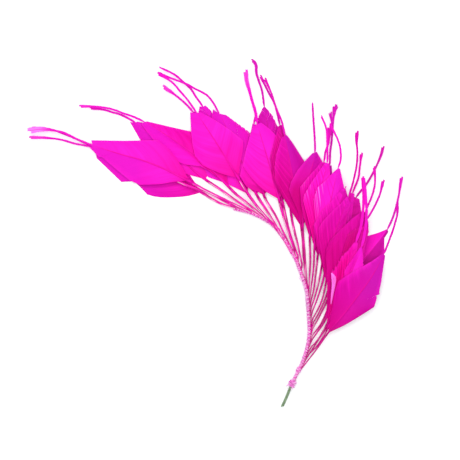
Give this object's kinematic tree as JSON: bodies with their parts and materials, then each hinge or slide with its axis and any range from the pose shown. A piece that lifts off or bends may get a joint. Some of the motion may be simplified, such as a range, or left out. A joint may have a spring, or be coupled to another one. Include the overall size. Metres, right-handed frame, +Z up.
{
  "type": "goose feather spray",
  "caption": "Hat spray of hot pink goose feathers trimmed to arrowheads with tufted stems, bound along a curved florist wire with thread.",
  "frame": {"origin": "middle of the bounding box at the level of the surface that the spray lies on", "axes": "+Z up from the surface, +X to the right and +Y up the spray as seen from above, bare wire end towards -Y"},
  "size_m": [0.3021, 0.2801, 0.0196],
  "materials": {
    "dye_bright_pink": "soft silky sheen",
    "dye_deep_pink": "soft silky sheen",
    "dye_purple_pink": "soft silky sheen",
    "pale_pink_thread": "twisted thread",
    "green_paper_wire": "paper covering"
  },
  "bodies": {
    "root": {"florist_wire": "green_paper_wire", "thread_binding": "pale_pink_thread", "feather_01": "dye_bright_pink", "feather_02": "dye_deep_pink", "feather_03": "dye_deep_pink", "feather_04": "dye_bright_pink", "feather_05": "dye_deep_pink", "feather_06": "dye_bright_pink", "feather_07": "dye_deep_pink", "feather_08": "dye_deep_pink", "feather_09": "dye_deep_pink", "feather_10": "dye_bright_pink", "feather_11": "dye_deep_pink", "feather_12": "dye_purple_pink", "feather_13": "dye_purple_pink", "feather_14": "dye_bright_pink", "feather_15": "dye_bright_pink", "feather_16": "dye_bright_pink", "feather_17": "dye_bright_pink", "feather_18": "dye_purple_pink", "feather_19": "dye_bright_pink", "feather_20": "dye_bright_pink", "feather_21": "dye_bright_pink", "feather_22": "dye_deep_pink", "feather_23": "dye_purple_pink", "feather_24": "dye_deep_pink", "feather_25": "dye_purple_pink", "feather_26": "dye_bright_pink", "feather_27": "dye_bright_pink", "feather_28": "dye_purple_pink", "feather_29": "dye_bright_pink"}
  },
  "joints": []
}
